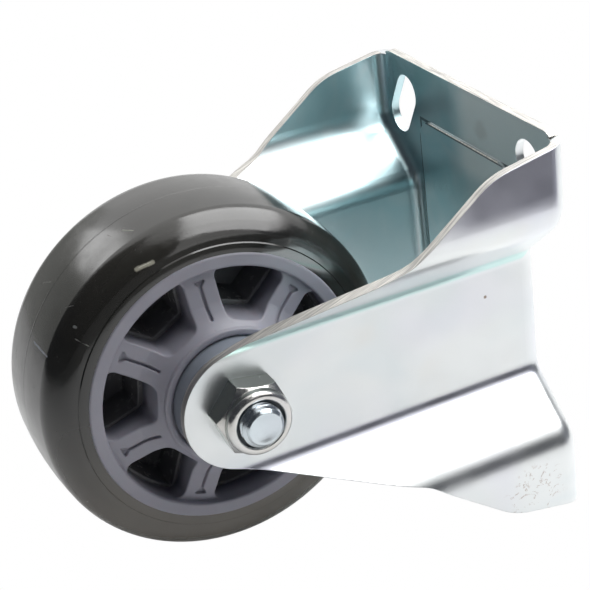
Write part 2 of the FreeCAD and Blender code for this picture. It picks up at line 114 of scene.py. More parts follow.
# Tones of the tyre and the mouldings
DUST_TONE = (0.20, 0.19, 0.17)
HAIRLINE_TONE = (0.30, 0.29, 0.27)
CORE_FLOW = (0.42, 0.415, 0.465)
CORE_GRIME = (0.17, 0.16, 0.17)
# Painted shade deep in the core's pockets
CORE_POCKET_SHADE = (0.060, 0.064, 0.095)
INNER_FLOW = (0.20, 0.20, 0.198)
GUARD_FLOW = (0.40, 0.43, 0.47)
INSERT_FLOW = (0.07, 0.09, 0.11)
BOLT_TONE = (0.72, 0.80, 0.84)
BUSH_TONE = (0.70, 0.77, 0.80)

# The axle bolt, in millimetres along the axle from the middle of the wheel
BOLT_R = 6.0
BOLT_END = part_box("axle_bolt")[0].y / MM
BOLT_CHAMFER = 1.4
THREAD_PITCH = 1.75
THREAD_DEPTH = 1.07
THREAD_STOP = -35.0
THREAD_STEP = 0.12
THREAD_ROOT = 0.10
THREAD_FLANK = 0.75
END_DISH = (3.4, 0.25)
END_DISH_RIM_R = 3.9
HEAD_FOOT = 32.7
HEAD_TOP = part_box("axle_bolt")[1].y / MM
HEAD_FLATS = 19.0
HEAD_TURN = 20.0
HEAD_TIP_R = 9.25
HEAD_BEVEL = 0.99
HEAD_DISH_RIM_R = 7.6
HEAD_DISH = (7.2, 0.2)
BOLT_SIDES = 96
SHARP_ANGLE = math.radians(38)

# The photograph's view: where the camera stands, and its back and up directions
CAMERA_PLACE = Vector((-0.22325, -0.38655, -0.21907))
CAMERA_BACK = Vector((-0.45462, -0.82430, -0.33741)).normalized()
CAMERA_UP = Vector((-0.88307, 0.36772, 0.29148)).normalized()
CAMERA_RIGHT = CAMERA_UP.cross(CAMERA_BACK).normalized()
CAMERA_LENS_MM = 100.9
STAGE_CENTRE = Vector((0, 0, AXLE.z / 2))

# The castor lies on its side on the photograph's table, on a plate edge and the tyre
TABLE_UP = Vector((-0.998, 0, 0.0675)).normalized()
TABLE_FRONT = (CAMERA_BACK - TABLE_UP * CAMERA_BACK.dot(TABLE_UP)).normalized()
TABLE_RIGHT = TABLE_UP.cross(TABLE_FRONT)
TABLE_TOUCH = Vector((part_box("bracket")[1].x, 0, 0))
TABLE_R = 1.2
FLOOR_R = 4.0
FLOOR_GLOW = 0.97
DISC_SIDES = 64

# Soft boxes: degrees round the table and above it, distance, width and height
TOP_BOX = (110, 62, 1.0, 1.2, 0.9)
LEFT_BOX = (-131, 30, 0.75, 0.20, 0.20)

# The dark room: degrees round the table, degrees above it, glow beside the room's own, and tint
ROOM_REACH = 0.8
ROOM_STEPS = 12
ROOM_TINT = (0.80, 0.86, 1.0)
WINDOW_TINT = (0.97, 0.98, 0.94)
ROOM_WALLS = {"room_front": ((-112, 22), (-11, 72), 1, ROOM_TINT),
              "room_corner": ((22, 66), (-11, 27), 1, ROOM_TINT),
              "room_right": ((66, 118), (-9, 34), 3, ROOM_TINT),
              "room_left": ((-150, -112), (-11, 24), 9, WINDOW_TINT)}


def colour_property(name, description, default):
    """Colour setting with the usual range."""
    return FloatVectorProperty(name=name, description=description, subtype="COLOR", size=3,
                               min=0.0, max=1.0, default=default)


def share_property(name, description, default):
    """Setting between nothing and full."""
    return FloatProperty(name=name, description=description, subtype="FACTOR",
                         min=0.0, max=1.0, default=default)


class CastorMetal(PropertyGroup):
    """Colours and wear of the plated steel."""

    zinc: colour_property("Zinc", "Main tone of the bright zinc plating", (0.88, 0.905, 0.905))
    zinc_blue: colour_property("Blue cast", "Blue-green cast of the plating", (0.74, 0.82, 0.85))
    zinc_warm: colour_property("Warm cast", "Faint straw cast of the plating", (0.86, 0.84, 0.79))
    # Painted reflection and shade: a darker cyan tint laid on the inner and downward faces.
    inner_reflection_tint: colour_property("Inside cast", "Stronger cyan cast of the inner faces",
                                 (0.52, 0.76, 0.80))
    sheared: colour_property("Sheared edge", "Tone of the cut edges of the sheet", (0.44, 0.43, 0.415))
    nut: colour_property("Nut", "Warmer plating of the lock nut", (0.76, 0.74, 0.70))
    bearing: colour_property("Bearing steel", "Ground steel of races and balls", (0.62, 0.62, 0.63))
    wear: share_property("Wear", "Strength of scuffs, stains and spots", 0.8)
    sheet_roughness: share_property("Sheet roughness", "Roughness of the pressed sheet", 0.3)


class CastorMouldings(PropertyGroup):
    """Colours of the tyre and the moulded plastics."""

    tyre: colour_property("Tyre", "Grey of the moulded tyre", (0.014, 0.014, 0.0115))
    # Painted bounce light: warmer grey laid on the tyre toward the table side.
    tyre_lit_side: colour_property("Tyre, pale", "Warmer grey where the tyre is scuffed pale",
                               (0.19, 0.172, 0.146))
    core: colour_property("Core", "Purple-grey of the wheel's core", (0.365, 0.36, 0.42))
    inner: colour_property("Inner core", "Dark grey of the inner moulding", (0.16, 0.16, 0.162))
    guard: colour_property("Guards", "Blue-grey of the thread guards", (0.25, 0.28, 0.33))
    insert: colour_property("Locking insert", "Nylon of the nut's locking ring", (0.035, 0.05, 0.065))
    scratches: share_property("Scratches", "Strength of scratches on the tyre", 0.7)
    tyre_roughness: share_property("Tyre roughness", "Roughness of the tyre's skin", 0.11)


class CastorStage(PropertyGroup):
    """Lights and background."""

    world: FloatProperty(name="World light", description="Strength of the even light all round",
                         min=0.0, max=2.0, default=0.38)
    top_box: FloatProperty(name="Top box", description="Power of the large soft box above",
                           min=0.0, max=60.0, default=12.0, unit="POWER")
    left_box: FloatProperty(name="Left box", description="Power of the soft box behind on the left",
                            min=0.0, max=60.0, default=0.25, unit="POWER")
    room: FloatProperty(name="Room", description="Brightness of the dark room in reflections",
                        min=0.0, max=1.0, default=0.05)
    table_gap: FloatProperty(name="Table gap", description="Space between the castor and the table",
                             min=0.0, max=0.2, default=0.02, unit="LENGTH")
    floor_drop: FloatProperty(name="Floor drop", description="How far the floor lies below the plate",
                              min=0.2, max=3.0, default=0.9, unit="LENGTH")


class Recipe:
    """One material's node tree, with a short call for each node that it needs."""

    def __init__(self, name):
        self.material = bpy.data.materials.new(name)
        self.material.use_nodes = True
        self.nodes = self.material.node_tree.nodes
        self.links = self.material.node_tree.links
        self.shader = self.nodes["Principled BSDF"]
        self.place = self.nodes.new("ShaderNodeTexCoord").outputs["Object"]

    def put(self, socket, value):
        """Feed a socket from another node, or set its value."""
        if isinstance(value, bpy.types.NodeSocket):
            self.links.new(value, socket)
        elif socket.type == "RGBA":
            socket.default_value = (*value, 1.0) if len(value) == 3 else value
        else:
            socket.default_value = value

    def look(self, **values):
        """Set inputs of the surface shader; underscores stand for spaces."""
        for name, value in values.items():
            self.put(self.shader.inputs[name.replace("_", " ")], value)

    def sums(self, operation, a, b=0.0):
        """Arithmetic on one or two values."""
        node = self.nodes.new("ShaderNodeMath")
        node.operation = operation
        self.put(node.inputs[0], a)
        self.put(node.inputs[1], b)
        return node.outputs[0]

    def times(self, a, b):
        """Product of two values."""
        return self.sums("MULTIPLY", a, b)

    def moved(self, shift=(0, 0, 0), scale=(1, 1, 1)):
        """The piece's own coordinates, moved and stretched."""
        node = self.nodes.new("ShaderNodeMapping")
        self.put(node.inputs["Vector"], self.place)
        node.inputs["Location"].default_value = shift
        node.inputs["Scale"].default_value = scale
        return node.outputs[0]

    def noise(self, size, detail=2.0, rough=0.5, bend=0.0, vector=None):
        """Soft noise whose blotches are about one size across."""
        node = self.nodes.new("ShaderNodeTexNoise")
        self.put(node.inputs["Vector"], vector or self.place)
        node.inputs["Scale"].default_value = 1.0 / size
        node.inputs["Detail"].default_value = detail
        node.inputs["Roughness"].default_value = rough
        node.inputs["Distortion"].default_value = bend
        return node.outputs[0]

    def cells(self, size):
        """Distance to the nearest of many scattered points, for specks and pits."""
        node = self.nodes.new("ShaderNodeTexVoronoi")
        self.put(node.inputs["Vector"], self.place)
        node.inputs["Scale"].default_value = 1.0 / size
        return node.outputs["Distance"]

    def band(self, value, low, high, out_low=0.0, out_high=1.0):
        """Smooth step of a value between two levels."""
        node = self.nodes.new("ShaderNodeMapRange")
        node.interpolation_type = "SMOOTHSTEP"
        self.put(node.inputs["Value"], value)
        self.put(node.inputs["From Min"], low)
        self.put(node.inputs["From Max"], high)
        self.put(node.inputs["To Min"], out_low)
        self.put(node.inputs["To Max"], out_high)
        return node.outputs[0]

    def blend(self, share, a, b):
        """Colour between two colours."""
        node = self.nodes.new("ShaderNodeMix")
        node.data_type = "RGBA"
        self.put(node.inputs[0], share)
        self.put(node.inputs[6], a)
        self.put(node.inputs[7], b)
        return node.outputs[2]

    def split(self, vector):
        """X, Y and Z of a vector."""
        node = self.nodes.new("ShaderNodeSeparateXYZ")
        self.put(node.inputs[0], vector)
        return node.outputs[0], node.outputs[1], node.outputs[2]

    def surface_normal(self):
        """The face's own direction, before any bump."""
        return self.nodes.new("ShaderNodeNewGeometry").outputs["True Normal"]

    def softened(self, radius):
        """Normal that rounds sharp edges by a small radius."""
        node = self.nodes.new("ShaderNodeBevel")
        node.samples = 6
        node.inputs["Radius"].default_value = radius
        return node.outputs[0]

    def bump(self, height, depth, below=None, strength=1.0):
        """Relief of one depth, laid over an earlier normal if there is one."""
        node = self.nodes.new("ShaderNodeBump")
        node.inputs["Strength"].default_value = strength
        node.inputs["Distance"].default_value = depth
        self.put(node.inputs["Height"], height)
        if below is not None:
            self.put(node.inputs["Normal"], below)
        return node.outputs[0]

    def spot(self, centre, radius, ragged=0.0):
        """Mask of a round mark about a point, with an uneven edge."""
        node = self.nodes.new("ShaderNodeVectorMath")
        node.operation = "DISTANCE"
        self.put(node.inputs[0], self.place)
        node.inputs[1].default_value = centre
        distance = node.outputs["Value"]
        if ragged:
            uneven = self.times(self.noise(radius, 3.0), radius * ragged)
            distance = self.sums("ADD", distance, uneven)
        return self.band(distance, radius * 0.6, radius * 1.1, 1.0, 0.0)

    def scuff(self, start, end, width, ragged=0.6, place=None):
        """Mask of a short scuff between two points, with an uneven edge."""
        start, end = Vector(start), Vector(end)
        run = end - start
        from_start = self.vectors("SUBTRACT", place or self.place, tuple(start)).outputs["Vector"]
        unit = tuple(run / run.length_squared)
        along = self.vectors("DOT_PRODUCT", from_start, unit).outputs["Value"]
        along = self.sums("MINIMUM", self.sums("MAXIMUM", along, 0.0), 1.0)
        nearest = self.vectors("SCALE", tuple(run))
        self.put(nearest.inputs["Scale"], along)
        away = self.vectors("DISTANCE", from_start, nearest.outputs["Vector"]).outputs["Value"]
        uneven = self.times(self.noise(width * 1.5, 3.0, 0.7), width * ragged)
        return self.band(self.sums("ADD", away, uneven), width * 0.5, width * 0.9, 1.0, 0.0)

    def vectors(self, operation, a, b=None):
        """Node of vector arithmetic on one or two vectors."""
        node = self.nodes.new("ShaderNodeVectorMath")
        node.operation = operation
        self.put(node.inputs[0], a)
        if b is not None:
            self.put(node.inputs[1], b)
        return node

    def unrolled(self):
        """The tread rolled out flat: distance round it, and distance across it."""
        _, angle = self.from_axle()
        node = self.nodes.new("ShaderNodeCombineXYZ")
        self.put(node.inputs[0], self.times(angle, WHEEL_R))
        self.put(node.inputs[1], self.split(self.place)[1])
        return node.outputs[0]

    def from_axle(self):
        """Distance from the axle line, and the angle round it."""
        x, _, z = self.split(self.moved(shift=tuple(-AXLE)))
        squares = self.sums("ADD", self.times(x, x), self.times(z, z))
        radius = self.sums("SQRT", squares)
        return radius, self.sums("ARCTAN2", z, x)


def finish_node(name, material):
    """Give every surface of a CAD node one material."""
    slots = NODES[name].material_slots
    if not slots:
        NODES[name].data.materials.append(material)
    for slot in slots:
        slot.material = material


def plated_base(recipe, main, blue, warm):
    """Colour of zinc plating: broad cool and warm clouds and a fine mottle."""
    straw_place = recipe.moved(shift=(0.3, 0.1, 0))
    lilac_place = recipe.moved(shift=(0.1, 0.4, 0.2))
    clouds = recipe.band(recipe.noise(34 * MM, 2.0, bend=0.6), 0.40, 0.72)
    straw = recipe.band(recipe.noise(22 * MM, 2.0, vector=straw_place), 0.55, 0.8)
    lilac = recipe.band(recipe.noise(28 * MM, 1.0, vector=lilac_place), 0.48, 0.75)
    mottle = recipe.band(recipe.noise(0.7 * MM, 3.0), 0.3, 0.8)
    tone = recipe.blend(recipe.times(clouds, 0.55), main, blue)
    tone = recipe.blend(recipe.times(straw, 0.4), tone, warm)
    tone = recipe.blend(recipe.times(lilac, 0.5), tone, CLOUD_LILAC)
    return recipe.blend(recipe.times(mottle, 0.06), tone, MOTTLE_TONE)


def painted_inner_reflection(recipe):
    """Mask of the bracket's inner faces, fading away from the plate, where a darker cyan reflection and
    shade are painted.
    """
    _, ny, nz = recipe.split(recipe.surface_normal())
    length, across, height = recipe.split(recipe.place)
    outward = recipe.times(recipe.sums("SIGN", across), ny)
    turned_in = recipe.band(outward, -0.35, -0.10, 1.0, 0.0)
    under = recipe.band(nz, -0.6, -0.3, 1.0, 0.0)
    drift = recipe.band(recipe.noise(17 * MM, 2.0, bend=0.8), 0.3, 0.7, 0.65, 1.0)
    leg = recipe.band(length, -24 * MM, 6 * MM, 1.0, 0.35)
    leg = recipe.times(turned_in, recipe.times(leg, drift))
    inside = recipe.sums("MAXIMUM", leg, recipe.times(under, drift))
    return recipe.times(inside, recipe.band(height, -60 * MM, -8 * MM, 0.25, 1.0))


def valley_painted_reflections(recipe):
    """Masks of the near panel's two pressed valleys, where reflections are painted: one green-teal, the
    other lilac.
    """
    length, across, _ = recipe.split(recipe.place)
    _, _, nz = recipe.split(recipe.surface_normal())
    upright = recipe.band(recipe.sums("ABSOLUTE", nz), 0.1, 0.5, 1.0, 0.0)
    slope = recipe.band(across, NEAR_PANEL_Y - 6.5 * MM, NEAR_PANEL_Y - 3.4 * MM)
    slope = recipe.times(slope, upright)
    slope = recipe.times(slope, recipe.band(across, NEAR_PANEL_Y - 2.9 * MM,
                                            NEAR_PANEL_Y - SHEET, 1.0, 0.0))
    teal = recipe.times(slope, recipe.band(length, -12 * MM, -8 * MM, 1.0, 0.0))
    lilac = recipe.times(slope, recipe.band(length, 8 * MM, 12 * MM))
    return teal, lilac


def pad_painted_light(recipe):
    """Masks on the plate's underside: a painted shadow line along the pad's step, and a painted pale
    sheen.
    """
    _, _, nz = recipe.split(recipe.surface_normal())
    length, across, height = recipe.split(recipe.place)
    beyond = [recipe.sums("SUBTRACT", recipe.sums("ABSOLUTE", axis), half)
              for axis, half in ((length, PAD_HALF_X), (across, PAD_HALF_Y))]
    rim = recipe.sums("ABSOLUTE", recipe.sums("MAXIMUM", *beyond))
    step = recipe.times(recipe.band(rim, 0.3 * MM, 0.6 * MM, 1.0, 0.0),
                        recipe.band(height, PLATE_UNDER_Z, PLATE_UNDER_Z + 0.3 * MM, 1.0, 0.0))
    under = recipe.band(nz, -0.95, -0.8, 1.0, 0.0)
    painted_sheen = recipe.times(recipe.band(across, -4 * MM, 9 * MM, 1.0, 0.0),
                        recipe.band(length, -35 * MM, -27 * MM, 1.0, 0.0))
    return step, recipe.times(painted_sheen, under)


def leg_edges(recipe):
    """Mask of the cut outlines of both legs."""
    nx, ny, _ = recipe.split(recipe.surface_normal())
    _, _, height = recipe.split(recipe.place)
    along_axle = recipe.band(recipe.sums("ABSOLUTE", ny), 0.03, 0.06, 1.0, 0.0)
    sloping = recipe.band(recipe.sums("ABSOLUTE", nx), 0.20, 0.30)
    foot = recipe.band(height, -76 * MM, -72 * MM, 1.0, 0.0)
    below = recipe.band(height, -3.2 * MM, -2.8 * MM, 1.0, 0.0)
    outline = recipe.times(along_axle, recipe.sums("MAXIMUM", sloping, foot))
    return recipe.times(outline, below)


def plate_edges(recipe):
    """Mask of the plate's cut outer edge, without the slots."""
    _, _, nz = recipe.split(recipe.surface_normal())
    length, _, height = recipe.split(recipe.place)
    upright = recipe.band(recipe.sums("ABSOLUTE", nz), 0.08, 0.16, 1.0, 0.0)
    outer = recipe.band(recipe.sums("ABSOLUTE", length), PLATE_EDGE_X - 0.3 * MM,
                        PLATE_EDGE_X)
    above = recipe.band(height, -3.2 * MM, -2.8 * MM)
    return recipe.times(recipe.times(upright, outer), above)


def sheared_layers(recipe, leg, plate):
    """Fine layers of a sheared edge, which run along the edge."""
    on_leg = recipe.noise(0.5 * MM, 3.0, 0.65, vector=recipe.moved(scale=(0.05, 1.0, 0.05)))
    on_plate = recipe.noise(0.5 * MM, 3.0, 0.65, vector=recipe.moved(scale=(0.05, 0.05, 1.0)))
    return recipe.sums("ADD", recipe.times(on_leg, leg),
                       recipe.times(on_plate, plate))


def wing_share(recipe):
    """Mask of the wings' outer faces, stronger toward their edges and toward the plate."""
    _, ny, nz = recipe.split(recipe.surface_normal())
    length, across, height = recipe.split(recipe.place)
    outer = recipe.band(recipe.times(recipe.sums("SIGN", across), ny), 0.10, 0.35)
    upright = recipe.band(recipe.sums("ABSOLUTE", nz), 0.15, 0.5, 1.0, 0.0)
    wing = recipe.band(recipe.sums("ABSOLUTE", length), WING_START, WING_START + WING_FADE)
    share = recipe.times(recipe.times(outer, upright), wing)
    share = recipe.times(share, recipe.band(height, -50 * MM, -26 * MM))
    return recipe.times(share, recipe.band(height, -3.6 * MM, -2.8 * MM, 1.0, 0.0))


def curled_wings(recipe, share, normal):
    """Normal turned outward on the outer faces of the wings, which curl back a little."""
    length, _, _ = recipe.split(recipe.place)
    turn = recipe.nodes.new("ShaderNodeCombineXYZ")
    recipe.put(turn.inputs[0], recipe.times(recipe.times(share, WING_CURL),
                                            recipe.sums("SIGN", length)))
    turned = recipe.vectors("ADD", normal, turn.outputs[0]).outputs["Vector"]
    return recipe.vectors("NORMALIZE", turned).outputs["Vector"]


class CASTOR_OT_bracket(Operator):
    """Finish the pressed bracket in bright zinc with sheared edges, marks of use, and painted
    reflections, sheen and shade
    """

    bl_idname = "castor.bracket"
    bl_label = "Bracket finish"

    def tints_and_painted_light(self, recipe, metal, wing, painted_sheen):
        """Plating colour with painted reflection tints on the inner faces, the valleys and the wings,
        and a painted pale sheen.
        """
        tone = plated_base(recipe, metal.zinc, metal.zinc_blue, metal.zinc_warm)
        # Painted reflection and shade: inner and downward faces tinted darker cyan.
        tone = recipe.blend(painted_inner_reflection(recipe), tone, metal.inner_reflection_tint)
        # Painted reflections: one pressed valley tinted green-teal, the other lilac.
        teal, lilac = valley_painted_reflections(recipe)
        tone = recipe.blend(recipe.times(teal, 0.7), tone, VALLEY_REFLECTION_TEAL)
        tone = recipe.blend(recipe.times(lilac, 0.6), tone, VALLEY_REFLECTION_LILAC)
        # Painted reflection: the rear wing's outer face tinted darker lilac.
        length, _, _ = recipe.split(recipe.place)
        rear_wing_reflection = recipe.times(wing, recipe.band(length, -5 * MM, 5 * MM, 0.8, 0.0))
        tone = recipe.blend(rear_wing_reflection, tone, WING_REFLECTION_LILAC)
        # Painted highlight: a pale sheen on the plate's underside.
        return recipe.blend(recipe.times(painted_sheen, 0.9), tone, SHEEN_TONE)

    def squiggles(self, recipe):
        """Mask of thin scribbled scuffs near the corner of the near wing."""
        field = recipe.sums("SUBTRACT", recipe.noise(4.0 * MM, 4.0, 0.62, bend=1.2), 0.5)
        lines = recipe.band(recipe.sums("ABSOLUTE", field), 0.006, 0.026, 1.0, 0.0)
        patches = recipe.band(recipe.noise(2.2 * MM, 1.0), 0.50, 0.56)
        corner = recipe.spot(SQUIGGLE_PLACE, SQUIGGLE_R, 0.4)
        return recipe.times(recipe.times(lines, patches), corner)

    def marks(self, recipe, tone, wear):
        """Tone with the brown dot, the stain and the squiggles laid on it."""
        dot = recipe.spot(DOT_PLACE, DOT_R, 0.5)
        tone = recipe.blend(recipe.times(dot, wear), tone, DOT_TONE)
        stain = recipe.spot(STAIN_PLACE, STAIN_R, 0.8)
        tone = recipe.blend(recipe.times(stain, 0.25 * wear), tone, STAIN_TONE)
        return recipe.blend(recipe.times(self.squiggles(recipe), 0.75 * wear), tone, SQUIGGLE_TONE)

    def execute(self, context):
        metal = context.scene.castor_metal
        recipe = Recipe("zinc_sheet")
        wing = wing_share(recipe)
        step, painted_sheen = pad_painted_light(recipe)
        leg, plate = leg_edges(recipe), plate_edges(recipe)
        edges = recipe.sums("MAXIMUM", leg, plate)
        layers = sheared_layers(recipe, leg, plate)
        tone = self.tints_and_painted_light(recipe, metal, wing, painted_sheen)
        # Painted shadow: a dark line along the pad's step.
        tone = recipe.blend(recipe.times(step, 0.85), tone, STEP_SHADE_TONE)
        cut_tone = recipe.blend(recipe.band(layers, 0.28, 0.70), metal.sheared, metal.zinc_warm)
        tone = recipe.blend(edges, tone, cut_tone)
        tone = self.marks(recipe, tone, metal.wear)
        # The painted sheen also lowers the metallic and raises the roughness there.
        metallic = recipe.sums("SUBTRACT", 1.0, recipe.times(painted_sheen, 0.6))
        rough = recipe.band(recipe.noise(9 * MM, 2.0), 0.25, 0.8,
                            metal.sheet_roughness - 0.02, metal.sheet_roughness + 0.05)
        rough = recipe.sums("ADD", rough, recipe.times(edges, 0.22))
        rough = recipe.sums("ADD", rough, recipe.times(painted_sheen, 0.35))
        curled = curled_wings(recipe, wing, recipe.softened(0.3 * MM))
        pressed = recipe.bump(recipe.noise(26 * MM, 2.0), 0.5 * MM, curled, strength=0.45)
        skin = recipe.bump(recipe.noise(0.8 * MM, 2.0), 0.014 * MM, pressed)
        relief = recipe.bump(layers, 0.10 * MM, skin)
        recipe.look(Base_Color=tone, Metallic=metallic, Roughness=rough, Normal=relief)
        finish_node("bracket", recipe.material)
        return {"FINISHED"}


class CASTOR_OT_tyre(Operator):
    """Finish the tyre as glossy grey moulded polyurethane with a mould line, scratches and painted
    bounce light on the table side
    """

    bl_idname = "castor.tyre"
    bl_label = "Tyre finish"

    # Ends of each scuff in millimetres, its width and its colour
    SCUFFS = (((-41.6, -18.4, -110.8), (-42.3, -18.6, -106.4), 1.3, (0.60, 0.58, 0.46)),
              ((-41.9, -18.5, -110.2), (-42.6, -18.7, -106.8), 0.4, (0.85, 0.84, 0.75)),
              ((-47.7, -6.2, -109.2), (-48.2, -9.2, -107.3), 0.5, (0.34, 0.36, 0.30)),
              ((-30.5, -16.8, -129.4), (-30.3, -17.0, -129.0), 0.8, (0.30, 0.32, 0.31)),
              ((-22.9, -3.4, -137.6), (-22.4, -12.6, -136.8), 0.7, (0.55, 0.60, 0.70)),
              ((-27.6, -17.9, -130.0), (-24.4, -19.1, -126.6), 0.4, (0.22, 0.23, 0.21)),
              ((-34.0, 6.0, -129.8), (-35.6, 2.0, -128.5), 0.5, (0.25, 0.25, 0.23)))

    def hairlines(self, recipe):
        """Mask of straight hairline scratches scattered over the tread."""
        flat = recipe.unrolled()
        draw = random.Random(HAIRLINE_SEED)
        joint = 0.0
        for _ in range(HAIRLINES):
            round_tread = draw.uniform(-math.pi, math.pi) * WHEEL_R
            start = Vector((round_tread, draw.uniform(-HAIRLINE_REACH, HAIRLINE_REACH), 0))
            slant, length = draw.uniform(-0.9, 0.9), draw.uniform(2, 7) * MM
            end = start + Vector((math.sin(slant), math.cos(slant), 0)) * length
            mask = recipe.scuff(start, end, draw.uniform(0.18, 0.34) * MM, 0.9, flat)
            joint = recipe.sums("MAXIMUM", mask, joint)
        return joint

    def scuffed(self, recipe, tone, strength):
        """Tone with the pale scuffs laid on it, and their joint mask."""
        joint = 0.0
        for start, end, width, colour in self.SCUFFS:
            ends = [tuple(value * MM for value in point) for point in (start, end)]
            mask = recipe.scuff(*ends, width * MM)
            tone = recipe.blend(recipe.times(mask, strength), tone, colour)
            joint = recipe.sums("MAXIMUM", mask, joint)
        return tone, joint

    def execute(self, context):
        moulded = context.scene.castor_mouldings
        recipe = Recipe("tyre_skin")
        radius, _ = recipe.from_axle()
        length, across, _ = recipe.split(recipe.place)
        clouds = recipe.band(recipe.noise(30 * MM, 2.0, bend=0.5), 0.35, 0.75)
        # Painted bounce light: the tyre grows paler toward the table side, with a little random cloud.
        pale = recipe.sums("ADD", recipe.band(length, -10 * MM, 44 * MM, 0.0, 0.85),
                           recipe.times(clouds, 0.1))
        tone = recipe.blend(pale, moulded.tyre, moulded.tyre_lit_side)
        dust = recipe.band(recipe.noise(1.1 * MM, 4.0, 0.7), 0.62, 0.78)
        tone = recipe.blend(recipe.times(dust, 0.10), tone, DUST_TONE)
        lines = self.hairlines(recipe)
        tone = recipe.blend(recipe.times(lines, 0.5 * moulded.scratches), tone, HAIRLINE_TONE)
        rough = recipe.band(recipe.noise(5 * MM, 3.0), 0.3, 0.8,
                            moulded.tyre_roughness - 0.03, moulded.tyre_roughness + 0.07)
        tone, scuffs = self.scuffed(recipe, tone, moulded.scratches)
        rough = recipe.sums("ADD", rough, recipe.times(dust, 0.12))
        rough = recipe.sums("ADD", rough, recipe.times(scuffs, 0.4))
        rough = recipe.sums("ADD", rough, recipe.band(radius, 44 * MM, 48 * MM, 0.0, 0.09))
        seam = recipe.band(recipe.sums("ABSOLUTE", across), 0.08 * MM, 0.30 * MM, 1.0, 0.0)
        on_tread = recipe.band(radius, WHEEL_R - 2 * MM, WHEEL_R - 1 * MM)
        side = recipe.band(radius, SIDE_START_R, WHEEL_R - 0.3 * MM, 1.0, 0.0)
        rounded = recipe.bump(side, SIDE_ROUNDING)
        waves = recipe.bump(recipe.noise(16 * MM, 2.0), 0.30 * MM, rounded, strength=0.3)
        raised = recipe.bump(recipe.times(seam, on_tread), 0.12 * MM, waves)
        relief = recipe.bump(recipe.sums("SUBTRACT", 1.0, lines), 0.03 * MM, raised)
        recipe.look(Base_Color=tone, Roughness=rough, Normal=relief, IOR=1.55,
                    Specular_IOR_Level=0.7, Coat_Weight=0.25, Coat_Roughness=0.10)
        finish_node("tyre", recipe.material)
        return {"FINISHED"}


class CASTOR_OT_core(Operator):
    """Finish the wheel's light core and its dark inner moulding"""

    bl_idname = "castor.core"
    bl_label = "Core finish"

    def light_core(self, moulded):
        """Satin purple-grey plastic with moulding flow, dust that grows toward the hub, and painted
        shade deep in the pockets.
        """
        recipe = Recipe("core_plastic")
        radius, _ = recipe.from_axle()
        flow = recipe.band(recipe.noise(14 * MM, 3.0, bend=1.0), 0.3, 0.75)
        tone = recipe.blend(recipe.times(flow, 0.30), moulded.core, CORE_FLOW)
        grime = recipe.band(recipe.noise(2.2 * MM, 4.0, 0.7), 0.58, 0.78)
        hub = recipe.band(radius, 17 * MM, 30 * MM, 1.0, 0.3)
        tone = recipe.blend(recipe.times(recipe.times(grime, hub), 0.22), tone, CORE_GRIME)
        rough = recipe.band(recipe.noise(3 * MM, 3.0), 0.25, 0.8, 0.30, 0.42)
        # Painted shade: pocket walls darken toward navy the deeper they go.
        _, across, _ = recipe.split(recipe.place)
        pocket_shade = recipe.band(recipe.sums("ABSOLUTE", across), INNER_FACE_Y,
                           SPOKE_FACE_Y - 0.8 * MM, 0.75, 0.0)
        tone = recipe.blend(pocket_shade, tone, CORE_POCKET_SHADE)
        soft = recipe.softened(0.8 * MM)
        relief = recipe.bump(recipe.noise(0.35 * MM, 2.0), 0.010 * MM, soft)
        recipe.look(Base_Color=tone, Roughness=rough, Normal=relief, IOR=1.5,
                    Subsurface_Weight=0.08, Subsurface_Scale=1.0 * MM)
        return recipe.material

    def dark_core(self, moulded):
        """Glossy dark moulding."""
        recipe = Recipe("inner_plastic")
        flow = recipe.band(recipe.noise(9 * MM, 3.0, bend=0.8), 0.3, 0.75)
        tone = recipe.blend(recipe.times(flow, 0.4), moulded.inner, INNER_FLOW)
        rough = recipe.band(recipe.noise(2 * MM, 3.0), 0.25, 0.8, 0.18, 0.30)
        relief = recipe.bump(recipe.noise(6 * MM, 2.0), 0.06 * MM, recipe.softened(0.3 * MM),
                             strength=0.5)
        recipe.look(Base_Color=tone, Roughness=rough, Normal=relief, IOR=1.52)
        return recipe.material

    def execute(self, context):
        moulded = context.scene.castor_mouldings
        finish_node("wheel_core", self.light_core(moulded))
        finish_node("inner_core", self.dark_core(moulded))
        return {"FINISHED"}


class CASTOR_OT_guards(Operator):
    """Finish the two blue-grey thread guards"""

    bl_idname = "castor.guards"
    bl_label = "Thread guard finish"

    def execute(self, context):
        moulded = context.scene.castor_mouldings
        recipe = Recipe("guard_plastic")
        rings = recipe.noise(0.4 * MM, 1.0, vector=recipe.moved(scale=(0.05, 1, 0.05)))
        flow = recipe.band(recipe.noise(8 * MM, 3.0), 0.3, 0.75)
        tone = recipe.blend(recipe.times(flow, 0.3), moulded.guard, GUARD_FLOW)
        rough = recipe.band(recipe.noise(2 * MM, 3.0), 0.25, 0.8, 0.28, 0.42)
        relief = recipe.bump(rings, 0.02 * MM, recipe.softened(0.4 * MM))
        recipe.look(Base_Color=tone, Roughness=rough, Normal=relief, IOR=1.5)
        finish_node("thread_guard_near", recipe.material)
        finish_node("thread_guard_far", recipe.material)
        return {"FINISHED"}


def thread_radius(station, turn):
    """Radius of the bolt's threaded end at a station along it and an angle round it."""
    phase = (station / THREAD_PITCH + turn / (2 * math.pi)) % 1.0
    flank = min(max((abs(2 * phase - 1) - THREAD_ROOT) / THREAD_FLANK, 0.0), 1.0)
    fade = min((THREAD_STOP - station) / THREAD_PITCH, 1.0)
    chamfer = BOLT_R - BOLT_CHAMFER + station - BOLT_END
    return min(BOLT_R - THREAD_DEPTH * fade * (1 - flank), chamfer)


def hexagon_radius(turn):
    """Distance from the axle line to the head's flats at an angle."""
    off = (math.degrees(turn) - HEAD_TURN) % 60.0 - 30.0
    return HEAD_FLATS / 2 / math.cos(math.radians(off))


